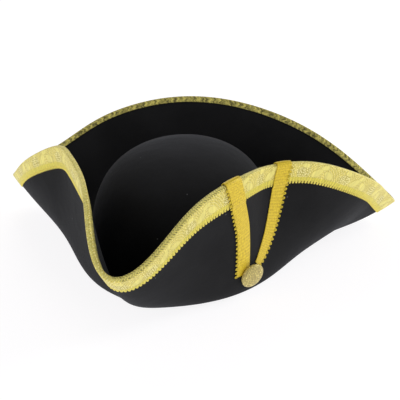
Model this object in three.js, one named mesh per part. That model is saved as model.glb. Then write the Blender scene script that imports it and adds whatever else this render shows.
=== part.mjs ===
// A cocked hat of black felt with three corners, one of them at the front, its brim edge bound with lace.
// Frame: the origin is the middle of the box's foot, +Z is up, -Y is the front corner, +X is the wearer's left.
// All sizes in millimetres.
import * as THREE from "three";

// ---- main sizes ----
const HEAD_WIDTH = 167; // head opening, side to side
const HEAD_LENGTH = 202; // head opening, front to back
const CROWN_HEIGHT = 110; // from the table to the top of the crown
const BRIM_WIDTH = 123; // along the felt, from the crown to the edge
const FELT = 2.5; // wall of the crown and brim
const SOLE_FLAT = 4; // flat foot of the brim round the crown

// ---- crown ----
const CROWN_TAPER = 0.05; // how much narrower the top is, as a share
const CROWN_SHOULDER = 3.7; // larger is squarer at the shoulder
const CROWN_ROUND = 2.2;

// ---- lace over the brim's edge ----
const LACE = 0.9; // thickness
const LACE_OUT = 18; // width seen on the outside of the flaps
const LACE_IN = 7; // width turned over to the inside
const GAP = 0.3; // clearance between pieces

// ---- the loop of ribbon and its button, on the wearer's left flap ----
const RIBBON_WIDTH = 17;
const RIBBON = 0.8; // thickness
const RIBBON_INSIDE = 12; // length turned over to the inside
const BUTTON_DIAMETER = 23;
const BUTTON_HEIGHT = 5.5;

// ---- how finely the pieces are cut ----
const STATIONS = 104; // round the brim
const BUTTON_SIDES = 28;

// The brim's sections, from the front corner round to the back, the same on both sides but for the skew.
// bearing: degrees from the front. out, rise, sole: shares of BRIM_WIDTH: how far the edge is from the crown,
// how high it is, and how long the brim stays flat before it turns up. lean: degrees of the felt at the edge,
// 90 is upright. skewOut, skewRise, skewLean: added on the wearer's left and taken off on the right.
const SECTIONS = [
  { at: "front corner", bearing: 0, out: 0.744, rise: 0.569, lean: 45, sole: 0.22, skewOut: 0, skewRise: 0, skewLean: 0 },
  { at: "front corner side", bearing: 10, out: 0.626, rise: 0.675, lean: 58, sole: 0.2, skewOut: -0.104, skewRise: 0.128, skewLean: 9 },
  { at: "front quarter", bearing: 22, out: 0.349, rise: 0.869, lean: 76, sole: 0.15, skewOut: -0.042, skewRise: 0.047, skewLean: 6 },
  { at: "flap front", bearing: 38, out: 0.186, rise: 0.922, lean: 83.5, sole: 0.11, skewOut: -0.001, skewRise: 0.016, skewLean: 0.5 },
  { at: "flap middle", bearing: 55, out: 0.14, rise: 0.921, lean: 79.5, sole: 0.13, skewOut: -0.016, skewRise: -0.02, skewLean: -2 },
  { at: "flap back", bearing: 75, out: 0.299, rise: 0.878, lean: 75.5, sole: 0.21, skewOut: 0.057, skewRise: -0.018, skewLean: -8.5 },
  { at: "corner quarter", bearing: 95, out: 0.634, rise: 0.633, lean: 73.5, sole: 0.28, skewOut: 0.071, skewRise: -0.018, skewLean: -13.5 },
  { at: "corner front side", bearing: 110, out: 0.899, rise: 0.373, lean: 50.5, sole: 0.36, skewOut: 0.011, skewRise: -0.008, skewLean: -3 },
  { at: "rear corner", bearing: 121, out: 1.104, rise: 0.236, lean: 26.5, sole: 0.44, skewOut: 0.015, skewRise: -0.07, skewLean: -2.5 },
  { at: "corner back side", bearing: 131, out: 0.906, rise: 0.442, lean: 27.5, sole: 0.4, skewOut: 0.041, skewRise: -0.053, skewLean: 0 },
  { at: "back quarter", bearing: 144, out: 0.729, rise: 0.664, lean: 40, sole: 0.38, skewOut: -0.004, skewRise: -0.028, skewLean: 0 },
  { at: "back flap side", bearing: 161, out: 0.551, rise: 0.814, lean: 45, sole: 0.38, skewOut: -0.008, skewRise: -0.018, skewLean: 0 },
  { at: "back flap", bearing: 180, out: 0.47, rise: 0.867, lean: 47, sole: 0.38, skewOut: 0, skewRise: 0, skewLean: 0 },
];

// The two legs of the ribbon, by where their middle line lies on the flap. section: place in the table above,
// counted from the front corner. along: 0 at the table, 1 at the edge. width: share of RIBBON_WIDTH.
const FRONT_LEG = [
  { section: 2.41, along: 1, width: 1 },
  { section: 2.66, along: 0.8, width: 1 },
  { section: 2.84, along: 0.65, width: 1 },
  { section: 2.93, along: 0.42, width: 0.95 },
  { section: 2.935, along: 0.345, width: 0.9 },
];
const REAR_LEG = [
  { section: 4.335, along: 1, width: 0.82 },
  { section: 4.265, along: 0.77, width: 0.79 },
  { section: 4.065, along: 0.58, width: 0.76 },
  { section: 3.74, along: 0.438, width: 0.7 },
  { section: 3.52, along: 0.375, width: 0.5 },
];
const BUTTON_PLACE = { section: 3.2, along: 0.338 };
// The button leans on the ribbon's ends: how far its axis points along the rim and across it, where it points 1 out.
const BUTTON_LEAN = { alongRim: -0.216, across: 0.1 };

const V = (x, y, z) => new THREE.Vector3(x, y, z);
const UP = V(0, 0, 1);
const { degToRad, smoothstep } = THREE.MathUtils;

// ---- smooth curves through the table ----

// A periodic cubic spline through values at 0, 1, 2, ...
function periodicSpline(values) {
  const n = values.length;
  const at = (i) => values[((i % n) + n) % n];
  let slope = values.map(() => 0);
  for (let pass = 0; pass < 60; pass++)
    slope = slope.map(
      (_, i) =>
        (3 * (at(i + 1) - at(i - 1)) -
          slope[(i + 1) % n] -
          slope[(i - 1 + n) % n]) /
        4,
    );
  return (u) => {
    const i = Math.floor(u),
      f = u - i,
      a = ((i % n) + n) % n,
      b = (a + 1) % n;
    const h = 1 - f;
    return (
      values[a] * h * h * (1 + 2 * f) +
      values[b] * f * f * (3 - 2 * f) +
      slope[a] * f * h * h -
      slope[b] * f * f * h
    );
  };
}

const LAST = SECTIONS.length - 1;
const ROWS = 2 * LAST; // the whole circle: the left side, then the right one from the back to the front
const circle = [...Array(ROWS).keys()].map((i) => {
  const right = i > LAST;
  const row = SECTIONS[right ? ROWS - i : i];
  const side = right ? -1 : 1;
  return {
    bearing: right ? 360 - row.bearing : row.bearing,
    out: row.out + side * row.skewOut,
    rise: row.rise + side * row.skewRise,
    lean: row.lean + side * row.skewLean,
    sole: row.sole,
  };
});
const evenBearing = 360 / ROWS;
const bearingOff = periodicSpline(
  circle.map((r, i) => r.bearing - i * evenBearing),
);
const bearingAt = (u) => bearingOff(u) + u * evenBearing;
const outAt = periodicSpline(circle.map((r) => r.out));
const riseAt = periodicSpline(circle.map((r) => r.rise));
const leanAt = periodicSpline(circle.map((r) => r.lean));
const soleAt = periodicSpline(circle.map((r) => r.sole));

// ---- the shapes of crown and brim ----

const HALF_X = HEAD_WIDTH / 2 + FELT;
const HALF_Y = HEAD_LENGTH / 2 + FELT;

// Radius at a bearing of the oval with these half axes.
function oval(bearing, x = HALF_X, y = HALF_Y) {
  const b = degToRad(bearing);
  return 1 / Math.hypot(Math.sin(b) / x, Math.cos(b) / y);
}

function outward(bearing) {
  const b = degToRad(bearing);
  return V(Math.sin(b), -Math.cos(b), 0);
}

// A point of the brim's outer side. u: place round the brim in table rows. t: 0 at the foot, 1 at the edge.
function brim(u, t) {
  const bearing = bearingAt(u),
    n = outward(bearing),
    foot = oval(bearing) + SOLE_FLAT,
    out = outAt(u) * BRIM_WIDTH - SOLE_FLAT,
    rise = riseAt(u) * BRIM_WIDTH,
    lean = degToRad(leanAt(u)),
    chord = Math.hypot(out, rise),
    sole = soleAt(u) * BRIM_WIDTH;
  const edge = n
    .clone()
    .multiplyScalar(foot + out)
    .addScaledVector(UP, rise);
  const handle = edge
    .clone()
    .addScaledVector(n, (-Math.cos(lean) * chord) / 3)
    .addScaledVector(UP, (-Math.sin(lean) * chord) / 3);
  const s = 1 - t;
  return n
    .clone()
    .multiplyScalar(s * s * s * foot + 3 * s * s * t * (foot + sole))
    .addScaledVector(handle, 3 * s * t * t)
    .addScaledVector(edge, t * t * t);
}

const STEP = 1e-3;
const alongRim = (u, t) =>
  brim(u + STEP, t)
    .sub(brim(u - STEP, t))
    .divideScalar(2 * STEP);
const alongProfile = (u, t) => {
  const a = Math.min(t + STEP, 1),
    b = Math.max(t - STEP, 0);
  return brim(u, a)
    .sub(brim(u, b))
    .divideScalar(a - b);
};
// The direction through the felt, from the outer side to the inner one.
const inward = (u, t) =>
  alongRim(u, t).cross(alongProfile(u, t)).normalize().negate();

// Walks a distance from the edge down the outer side, square to the edge.
function downFromEdge(u, distance) {
  const steps = 8;
  let t = 1;
  for (let i = 0; i < steps; i++) {
    const across = alongRim(u, t),
      down = alongProfile(u, t),
      size = across.length();
    const lie = down.dot(across) / size;
    const square = Math.sqrt(Math.max(down.lengthSq() - lie * lie, 1));
    const dt = -distance / steps / square;
    t += dt;
    u -= (dt * lie) / size;
  }
  return { u, t };
}

// Stations round the brim: close together where the edge turns, further apart where it runs straight.
function stations() {
  const fine = 1440,
    edge = [...Array(fine).keys()].map((i) => brim((i * ROWS) / fine, 1));
  const at = (i) => edge[(i + fine) % fine];
  const weight = [0];
  for (let i = 0; i < fine; i++) {
    const a = at(i).clone().sub(at(i - 1)),
      b = at(i + 1).clone().sub(at(i));
    weight.push(
      weight[i] + b.length() / (0.11 * BRIM_WIDTH) + a.angleTo(b) / degToRad(11),
    );
  }
  const total = weight[fine],
    found = [];
  for (let k = 0, i = 0; k < STATIONS; k++) {
    const want = (k * total) / STATIONS;
    while (weight[i + 1] < want) i++;
    const f = (want - weight[i]) / (weight[i + 1] - weight[i]);
    found.push(((i + f) * ROWS) / fine);
  }
  return found;
}

// Each station's column of points on the outer side: square to the edge as far as the lace goes, and then
// down to the foot.
const LACE_ROWS = [0, LACE_IN, (LACE_IN + LACE_OUT) / 2, LACE_OUT];
const LOWER_ROWS = [0.82, 0.64, 0.47, 0.31, 0.15, 0];
const columns = stations().map((u) => {
  const cells = LACE_ROWS.map((d) => downFromEdge(u, d));
  const last = cells[cells.length - 1];
  for (const share of LOWER_ROWS) cells.push({ u: last.u, t: last.t * share });
  const points = cells.map((c) => ({
    outer: brim(c.u, c.t),
    n: c.t > 0 ? inward(c.u, c.t) : UP.clone(),
  }));
  const lift = points[0].outer.clone().sub(points[1].outer);
  lift.addScaledVector(points[0].n, -lift.dot(points[0].n)).normalize();
  return { points, lift, bearing: bearingAt(last.u) };
});

// ---- solids from rings of points ----

function solid(name, positions, faces, colour) {
  let volume = 0;
  for (const [a, b, c] of faces)
    volume += positions[a].dot(positions[b].clone().cross(positions[c]));
  const geometry = new THREE.BufferGeometry();
  geometry.setAttribute(
    "position",
    new THREE.Float32BufferAttribute(
      positions.flatMap((p) => p.toArray()),
      3,
    ),
  );
  geometry.setIndex(faces.flatMap(([a, b, c]) => (volume < 0 ? [a, c, b] : [a, b, c])));
  geometry.computeVertexNormals();
  const mesh = new THREE.Mesh(
    geometry,
    new THREE.MeshStandardMaterial({ color: colour, roughness: 0.9 }),
  );
  mesh.name = name;
  return mesh;
}

// Rings of equal length, each joined to the next. ends: "poles" closes with the first and last rings as single
// points, "loop" joins the last ring to the first, "strip" caps rings that are half bottom and half top.
function loft(name, rings, ends, colour) {
  const positions = [],
    index = rings.map((ring) =>
      ring.map((p) => {
        positions.push(p);
        return positions.length - 1;
      }),
    ),
    faces = [];
  const join = (a, b) => {
    const n = Math.max(a.length, b.length);
    for (let i = 0; i < n; i++) {
      const j = (i + 1) % n;
      if (a.length === 1) faces.push([a[0], b[i], b[j]]);
      else if (b.length === 1) faces.push([a[i], b[0], a[j]]);
      else {
        const p = positions;
        const short =
          p[a[i]].distanceTo(p[b[j]]) <= p[a[j]].distanceTo(p[b[i]]);
        if (short) faces.push([a[i], b[i], b[j]], [a[i], b[j], a[j]]);
        else faces.push([a[i], b[i], a[j]], [a[j], b[i], b[j]]);
      }
    }
  };
  for (let i = 0; i + 1 < index.length; i++) join(index[i], index[i + 1]);
  if (ends === "loop") join(index[index.length - 1], index[0]);
  if (ends === "strip")
    for (const [ring, flip] of [
      [index[0], false],
      [index[index.length - 1], true],
    ]) {
      const n = ring.length,
        half = n / 2;
      for (let i = 0; i + 1 < half; i++) {
        const quad = [ring[i], ring[i + 1], ring[n - 2 - i], ring[n - 1 - i]];
        if (flip) quad.reverse();
        faces.push([quad[0], quad[1], quad[2]], [quad[0], quad[2], quad[3]]);
      }
    }
  return solid(name, positions, faces, colour);
}

// ---- hat body: crown and brim in one piece of felt ----

// A ring of the crown. share: of its height. inset: how far inside the outer side.
function crownRing(share, inset) {
  const width =
    (1 - share ** CROWN_SHOULDER) ** (1 / CROWN_ROUND) *
    (1 - CROWN_TAPER * share);
  return columns.map((c) =>
    outward(c.bearing)
      .multiplyScalar(
        oval(c.bearing, HALF_X - inset, HALF_Y - inset) * width,
      )
      .setZ(share * (CROWN_HEIGHT - inset)),
  );
}
const CROWN_SHARES = [0.99, 0.95, 0.87, 0.76, 0.62, 0.45, 0.24];

function hatBody() {
  const depths = columns[0].points.length;
  const rings = [[V(0, 0, CROWN_HEIGHT)]];
  for (const share of CROWN_SHARES) rings.push(crownRing(share, 0));
  rings.push(
    columns.map((c) =>
      outward(c.bearing).multiplyScalar(oval(c.bearing)).setZ(FELT),
    ),
  );
  for (let j = depths - 1; j >= 0; j--)
    rings.push(
      columns.map(({ points }) =>
        points[j].outer.clone().addScaledVector(points[j].n, FELT),
      ),
    );
  for (let j = 0; j < depths; j++)
    rings.push(columns.map(({ points }) => points[j].outer.clone()));
  rings.push(crownRing(0, FELT));
  for (const share of [...CROWN_SHARES].reverse())
    rings.push(crownRing(share, FELT));
  rings.push([V(0, 0, CROWN_HEIGHT - FELT)]);
  return loft("hat_body", rings, "poles", 0x202022);
}

// ---- edge trim: one length of lace folded over the whole edge ----

function edgeTrim() {
  const far = GAP + LACE;
  return loft(
    "edge_trim",
    columns.map(({ points, lift }) => {
      const p = (row, height, beyond = 0) =>
        points[row].outer
          .clone()
          .addScaledVector(points[row].n, height)
          .addScaledVector(lift, beyond);
      return [
        p(3, -GAP),
        p(2, -GAP),
        p(1, -GAP),
        p(0, -GAP, GAP),
        p(0, FELT + GAP, GAP),
        p(1, FELT + GAP),
        p(1, FELT + far),
        p(0, FELT + far, GAP),
        p(0, FELT + GAP, far),
        p(0, -GAP, far),
        p(0, -far, GAP),
        p(1, -far),
        p(2, -far),
        p(3, -far),
      ];
    }),
    "loop",
    0xdcd080,
  );
}

// ---- ribbon legs: each folded over the lace and laid down the outer side ----

const body = hatBody();
const trim = edgeTrim();

// How far out along a ray the pieces are met: the ray runs back from a point 15 mm out.
function surfaceAt(point, direction, pieces = [body, trim]) {
  const reach = 15;
  const ray = new THREE.Raycaster(
    point.clone().addScaledVector(direction, reach),
    direction.clone().negate(),
    0,
    2 * reach,
  );
  const hit = ray.intersectObjects(pieces)[0];
  return hit ? reach - hit.distance : 0;
}

// A leg's middle line, by cell of the brim's outer side, as a smooth curve through its table.
function legLine(table) {
  const curve = new THREE.CatmullRomCurve3(
    table.map((r) => V(r.section, r.along * 4, r.width)),
    false,
    "centripetal",
  );
  return (f) => {
    const p = curve.getPoint(f);
    return { u: p.x, t: Math.min(p.y / 4, 1), width: p.z * RIBBON_WIDTH };
  };
}

// Moves a cell of the outer side by a vector that lies along it.
function moved(cell, step) {
  const a = alongRim(cell.u, cell.t),
    b = alongProfile(cell.u, cell.t);
  const aa = a.dot(a),
    ab = a.dot(b),
    bb = b.dot(b),
    as = a.dot(step),
    bs = b.dot(step),
    det = aa * bb - ab * ab;
  return {
    u: cell.u + (as * bb - bs * ab) / det,
    t: Math.min(cell.t + (bs * aa - as * ab) / det, 1),
  };
}

function ribbonLeg(name, table) {
  const line = legLine(table);
  const rows = []; // each a list of {point, direction} across the ribbon
  const ACROSS = [-0.5, 0, 0.5];
  const lay = (point, direction, about = [], clear = GAP + 0.25) => {
    let height = surfaceAt(point, direction);
    for (const near of about)
      height = Math.max(
        height,
        surfaceAt(point.clone().add(near), direction),
      );
    return {
      point: point.clone().addScaledVector(direction, height + clear),
      direction,
    };
  };
  // The step across the ribbon at a place on its middle line: square to its run, but along the edge near it.
  const acrossAt = (f) => {
    const cell = line(f),
      back = line(f + 0.02);
    const heading = brim(cell.u, cell.t)
      .sub(brim(back.u, back.t))
      .normalize();
    const side = heading.clone().cross(inward(cell.u, cell.t)).normalize();
    const rim = alongRim(cell.u, cell.t).normalize();
    rim.multiplyScalar(Math.sign(rim.dot(side)));
    const step = side.clone().lerp(rim, smoothstep(cell.t, 0.75, 0.96));
    step.multiplyScalar(cell.width / Math.max(step.dot(side), 0.5));
    return { cell, heading, step };
  };
  const DOWN = 26;
  for (let i = DOWN; i >= 1; i--) {
    const { cell, heading, step } = acrossAt((0.98 * i) / DOWN);
    rows.push(
      ACROSS.map((f) => {
        const c = moved(cell, step.clone().multiplyScalar(f));
        const out = inward(c.u, c.t).negate();
        return lay(brim(c.u, c.t), out, [
          heading.clone().multiplyScalar(2.5),
          heading.clone().multiplyScalar(-2.5),
          heading.clone().multiplyScalar(5.2),
          heading.clone().multiplyScalar(-5.2),
        ]);
      }),
    );
  }
  // over the fold, and down the inner side
  const top = acrossAt(0);
  const rimwards = alongRim(top.cell.u, 1);
  const wide = top.step.dot(rimwards) / rimwards.lengthSq();
  const frame = (f) => {
    const c = { u: top.cell.u + f * wide, t: 1 };
    const n = inward(c.u, 1);
    const lift = n.clone().cross(alongRim(c.u, 1)).normalize();
    lift.multiplyScalar(Math.sign(lift.dot(alongProfile(c.u, 1))));
    return { c, n, lift };
  };
  for (const angle of [-75, -50, -25, 0, 25, 50, 75])
    rows.push(
      ACROSS.map((f) => {
        const { c, n, lift } = frame(f);
        const a = degToRad(angle);
        const out = n
          .clone()
          .multiplyScalar(Math.sin(a))
          .addScaledVector(lift, Math.cos(a));
        return lay(
          brim(c.u, 1).addScaledVector(n, FELT / 2),
          out,
          [],
          GAP + 0.5,
        );
      }),
    );
  for (const down of [0.2, 0.45, 0.7, 1])
    rows.push(
      ACROSS.map((f) => {
        const { c } = frame(f);
        const at = downFromEdge(c.u, down * RIBBON_INSIDE);
        const n = inward(at.u, at.t);
        const step = alongProfile(at.u, at.t).normalize().multiplyScalar(2);
        return lay(brim(at.u, at.t).addScaledVector(n, FELT), n, [step]);
      }),
    );
  return loft(
    name,
    rows.map((row) => [
      ...row.map((c) => c.point),
      ...row
        .map((c) => c.point.clone().addScaledVector(c.direction, RIBBON))
        .reverse(),
    ]),
    "strip",
    0xe3c93f,
  );
}

// ---- button: a covered dome over the foot of the ribbons ----

const BUTTON_PROFILE = [
  // radius as a share of the half diameter, height as a share of the button's height
  { radius: 0.84, height: 0 },
  { radius: 0.96, height: 0.12 },
  { radius: 1, height: 0.32 },
  { radius: 0.94, height: 0.56 },
  { radius: 0.76, height: 0.79 },
  { radius: 0.45, height: 0.95 },
];

function button(pieces) {
  const { section, along } = BUTTON_PLACE;
  const rimward = alongRim(section, along).normalize(),
    out = inward(section, along).negate(),
    across = rimward.clone().cross(out);
  out
    .addScaledVector(rimward, BUTTON_LEAN.alongRim)
    .addScaledVector(across, BUTTON_LEAN.across)
    .normalize();
  const seat = brim(section, along);
  // the flat back clears whatever lies under it
  const y = rimward.clone().cross(out).normalize(),
    x = out.clone().cross(y);
  let height = 0;
  for (const share of [0, 0.45, 0.84])
    for (let i = 0; i < 16; i++) {
      const a = (i * Math.PI) / 8,
        r = (share * BUTTON_DIAMETER) / 2;
      const under = seat
        .clone()
        .addScaledVector(x, r * Math.cos(a))
        .addScaledVector(y, r * Math.sin(a));
      height = Math.max(height, surfaceAt(under, out, pieces));
    }
  seat.addScaledVector(out, height + GAP + 0.2);
  const turn = new THREE.Matrix4()
    .makeTranslation(seat.x, seat.y, seat.z)
    .multiply(
      new THREE.Matrix4().makeRotationFromQuaternion(
        new THREE.Quaternion().setFromUnitVectors(UP, out),
      ),
    );
  const ring = ({ radius, height }) =>
    [...Array(BUTTON_SIDES).keys()].map((i) => {
      const a = (i * 2 * Math.PI) / BUTTON_SIDES;
      const r = (radius * BUTTON_DIAMETER) / 2;
      return V(r * Math.cos(a), r * Math.sin(a), height * BUTTON_HEIGHT).applyMatrix4(turn);
    });
  return loft(
    "button",
    [
      [V(0, 0, 0).applyMatrix4(turn)],
      ...BUTTON_PROFILE.map(ring),
      [V(0, 0, BUTTON_HEIGHT).applyMatrix4(turn)],
    ],
    "poles",
    0xd9c67f,
  );
}

const group = new THREE.Group();
group.name = "tricorn_hat";
const pieces = [
  body,
  trim,
  ribbonLeg("loop_ribbon_front", FRONT_LEG),
  ribbonLeg("loop_ribbon_rear", REAR_LEG),
];
group.add(...pieces, button(pieces));

// the origin goes to the middle of the box's foot
const box = new THREE.Box3().setFromObject(group);
const shift = box.getCenter(V(0, 0, 0)).negate().setZ(-box.min.z);
for (const mesh of group.children) mesh.geometry.translate(shift.x, shift.y, shift.z);

export default group;
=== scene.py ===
import math

import bpy
import numpy as np
from bpy.props import FloatProperty, FloatVectorProperty, PointerProperty
from mathutils import Matrix, Vector


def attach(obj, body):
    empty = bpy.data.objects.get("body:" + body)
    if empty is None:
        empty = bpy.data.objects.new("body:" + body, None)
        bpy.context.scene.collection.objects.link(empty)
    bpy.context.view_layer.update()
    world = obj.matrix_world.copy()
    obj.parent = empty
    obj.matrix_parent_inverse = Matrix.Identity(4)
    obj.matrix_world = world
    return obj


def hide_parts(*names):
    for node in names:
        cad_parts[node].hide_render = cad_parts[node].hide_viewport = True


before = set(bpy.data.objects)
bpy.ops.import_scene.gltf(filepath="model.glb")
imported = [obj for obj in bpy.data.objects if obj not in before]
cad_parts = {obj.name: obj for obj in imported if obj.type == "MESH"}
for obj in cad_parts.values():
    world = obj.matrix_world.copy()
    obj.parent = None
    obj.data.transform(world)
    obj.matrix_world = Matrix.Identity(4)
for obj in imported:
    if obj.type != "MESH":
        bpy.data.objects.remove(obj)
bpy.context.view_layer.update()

bl_info = {
    "name": "Laced Three-Cornered Hat",
    "version": (1, 0, 0),
    "blender": (4, 5, 0),
    "location": "3D View > Sidebar > Hat",
    "description": "Felt, gold lace, a ribbon loop and a button for a hat with three corners",
    "category": "Object",
}

MM = 0.001

# The brim's sections from the front corner to the back, the same on both sides but for the skew. bearing is in
# degrees from the front. out, rise and sole are shares of the brim's width. lean is in degrees, 90 is upright. The
# skews are added on the wearer's left and taken off on the right.
SECTION = ("bearing", "out", "rise", "lean", "sole", "skew_out", "skew_rise", "skew_lean")
SECTIONS = (
    (0, 0.744, 0.569, 45, 0.22, 0, 0, 0),  # front corner
    (10, 0.626, 0.675, 58, 0.2, -0.104, 0.128, 9),
    (22, 0.349, 0.869, 76, 0.15, -0.042, 0.047, 6),
    (38, 0.186, 0.922, 83.5, 0.11, -0.001, 0.016, 0.5),
    (55, 0.14, 0.921, 79.5, 0.13, -0.016, -0.02, -2),  # middle of the flap
    (75, 0.299, 0.878, 75.5, 0.21, 0.057, -0.018, -8.5),
    (95, 0.634, 0.633, 73.5, 0.28, 0.071, -0.018, -13.5),
    (110, 0.899, 0.373, 50.5, 0.36, 0.011, -0.008, -3),
    (121, 1.104, 0.236, 26.5, 0.44, 0.015, -0.07, -2.5),  # rear corner
    (131, 0.906, 0.442, 27.5, 0.4, 0.041, -0.053, 0),
    (144, 0.729, 0.664, 40, 0.38, -0.004, -0.028, 0),
    (161, 0.551, 0.814, 45, 0.38, -0.008, -0.018, 0),
    (180, 0.47, 0.867, 47, 0.38, 0, 0, 0),  # back
)

# The ribbon's two legs by their middle lines: place in the table of sections, share of the way from the foot to
# the edge, share of the ribbon's width.
FRONT_LEG = ((2.41, 1, 1), (2.66, 0.8, 1), (2.84, 0.65, 1), (2.93, 0.42, 0.95), (2.935, 0.345, 0.9))
REAR_LEG = ((4.335, 1, 0.82), (4.265, 0.77, 0.79), (4.065, 0.58, 0.76), (3.74, 0.438, 0.7), (3.52, 0.375, 0.5))
BUTTON_PLACE = (3.2, 0.338)
# The button leans on the ribbon's ends: how far its axis points along the rim and across it, where it points 1 out.
BUTTON_LEAN = (-0.216, 0.1)

# The lace isn't folded on one line all the way round: what is added to its width outside and inside at each section
# of the whole edge, in millimetres, from the front corner over the wearer's left.
LACE_OUTSIDE = (
    *(2.5, 1.5, 1.7, -0.5, -2.3, -1.8, -1.5, -1.2, 0, 0, 0, 0),  # wearer's left, front to back
    *(0, 0, 0, -1, -4, -6, -4.6, -1.5, 0.5, 1.5, 2, 3),  # wearer's right, back to front
)
LACE_INSIDE = (
    *(0.5, 0, 0, 0, 0, 0, 0, 0, -1, -1.8, -2, -2),
    *(-2, -2, -2, -1.8, -1, 0, 1, 2, 2.2, 2.2, 2, 1.5),
)

# Steps of the cloths' patterns, in millimetres. Real stitches and ribs are 1 to 1.5 mm wide, too fine to show at the
# photograph's size, so these are drawn coarser.
LACE_REPEAT = 50.0
PEARL_STEP = 1.9
ARC_STEP = 2.4
STITCH_STEP = 2.4
STRIP_DOT_STEP = 3.2
RIB_STEP = 2.2
WARP_STEP = 1.9

# The loops of thread along an edge: ring across its middle line, thread, and how far the ring's middle is past the
# edge, in millimetres.
LACE_PICOT = (1.5, 1.2, 0.9)
LACE_PICOT_STANDS = 0.6
RIBBON_PICOT = (1.8, 1.4, 0.5)
RIBBON_PICOT_STEP = 4.2

# How square the crown's side is, upwards and outwards, and the share by which it narrows to the top.
CROWN_SIDE = (3.7, 2.2, 0.05)

# The lace's fold over the edge: how far it stands past the felt in millimetres, and the power that flattens it.
LACE_FOLD = (1.55, 0.8)

# The hem's waves between its stitches: depth in millimetres, and how many go round.
HEM_WAVE = (0.12, 173)

# How far the ribbon's middle stands above its two edges, in millimetres.
RIBBON_CROWN = 0.25


def colour(text):
    """An sRGB hex colour as linear values."""
    values = [int(text[i : i + 2], 16) / 255 for i in (1, 3, 5)]
    return tuple(v / 12.92 if v <= 0.04045 else ((v + 0.055) / 1.055) ** 2.4 for v in values)


def size_of(name, default, what, least=0.0):
    return FloatProperty(name=name, description=what, default=default * MM, min=least, unit="LENGTH", precision=4)


def angle_of(name, default, what):
    return FloatProperty(name=name, description=what, default=math.radians(default), subtype="ANGLE")


def shade_of(name, text, what):
    return FloatVectorProperty(
        name=name, description=what, default=colour(text), size=3, min=0, max=1, subtype="COLOR"
    )


class HatSizes(bpy.types.PropertyGroup):
    """Sizes of the hat's pieces"""

    head_width: size_of("Head width", 167, "Head opening, side to side")
    head_length: size_of("Head length", 202, "Head opening, front to back")
    crown_height: size_of("Crown height", 110, "Top of the crown above the table")
    brim_width: size_of("Brim width", 123, "Felt from the crown to the edge")
    felt: size_of("Felt", 2.5, "Thickness of the felt")
    sole_flat: size_of("Flat foot", 4, "Flat foot of the brim round the crown")
    lace_out: size_of("Lace outside", 18, "Lace seen on the outer side")
    lace_in: size_of("Lace inside", 7, "Lace turned over to the inner side")
    lace_stands: size_of("Lace height", 1.05, "How far the lace's face stands off the felt")
    lace: size_of("Lace thickness", 0.8, "Thickness of the woven lace")
    picot_pitch: size_of("Picot pitch", 3.2, "From one thread loop of the lace's edge to the next")
    ribbon_width: size_of("Ribbon width", 17, "Width of the loop's ribbon")
    ribbon: size_of("Ribbon thickness", 0.7, "Thickness of the ribbon")
    ribbon_inside: size_of("Ribbon inside", 12, "Ribbon turned over to the inner side")
    button_across: size_of("Button", 23, "Diameter of the button")
    button_height: size_of("Button height", 5.5, "Height of the button's dome")


class HatColours(bpy.types.PropertyGroup):
    """Colours of the hat's cloths"""

    felt: shade_of("Felt", "#151516", "Dyed wool")
    felt_fuzz: shade_of("Felt fuzz", "#6c6e76", "Light caught by the felt's fine hairs")
    lace: shade_of("Lace leaf", "#f0e482", "Pale gold of the raised leaves")
    lace_ground: shade_of("Lace ground", "#efdf74", "Gold between the leaves")
    lace_shadow: shade_of("Lace shadow", "#c8b854", "Darker gold between the stitches and pearls")
    lace_pearl: shade_of("Lace pearls", "#fff6b0", "Brightest thread, in the pearls and dots")
    lace_strip: shade_of("Lace strip", "#efe05c", "Yellow strip beside the picots")
    # the darker twill colour is partly real weave and partly painted shade where the fold turns from the light
    lace_twill: shade_of("Lace twill", "#a69c50", "Darker twill over the fold and inside")
    picot: shade_of("Picots", "#f4e266", "Thread loops of the lace's edge")
    ribbon: shade_of("Ribbon", "#dcc22a", "Yellow gold of the ribbon")
    button: shade_of("Button", "#f8e08c", "Pale gold of the button's cloth")


class HatScene(bpy.types.PropertyGroup):
    """Place of the camera, which the photograph gave"""

    azimuth: angle_of("Azimuth", 9.03, "Camera's angle round the hat")
    elevation: angle_of("Elevation", 21.0, "Camera's angle above the table")
    roll: angle_of("Roll", 0.546, "Camera's turn about its own axis")
    distance: size_of("Distance", 1004.8, "From the camera to the crown's foot")
    rightward: size_of("Rightward", 16.07, "Camera moved to its right")
    upward: size_of("Upward", 50.52, "Camera moved up its picture")
    focal: FloatProperty(name="Focal length", description="In millimetres on a 36 mm sensor", default=95.34)


# ---- the hat's surfaces, in millimetres, with the crown's middle at 0, 0 ----


def round_spline(values):
    """A smooth closed curve through values at 0, 1, 2 and so on."""
    values = np.array(values, float)
    slope = np.zeros_like(values)
    for _ in range(60):
        slope = (3 * (np.roll(values, -1) - np.roll(values, 1)) - np.roll(slope, -1) - np.roll(slope, 1)) / 4

    def value(u):
        whole = np.floor(u).astype(int)
        f = u - whole
        a, b, h = whole % len(values), (whole + 1) % len(values), 1 - f
        return (
            values[a] * h * h * (1 + 2 * f)
            + values[b] * f * f * (3 - 2 * f)
            + slope[a] * f * h * h
            - slope[b] * f * f * h
        )

    return value


def unit(v):
    return v / np.maximum(np.linalg.norm(v, axis=-1, keepdims=True), 1e-12)


def dot(a, b):
    return np.sum(a * b, axis=-1)


def ease(x, low, high):
    x = np.clip((np.asarray(x, float) - low) / (high - low), 0, 1)
    return x * x * (3 - 2 * x)


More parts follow.
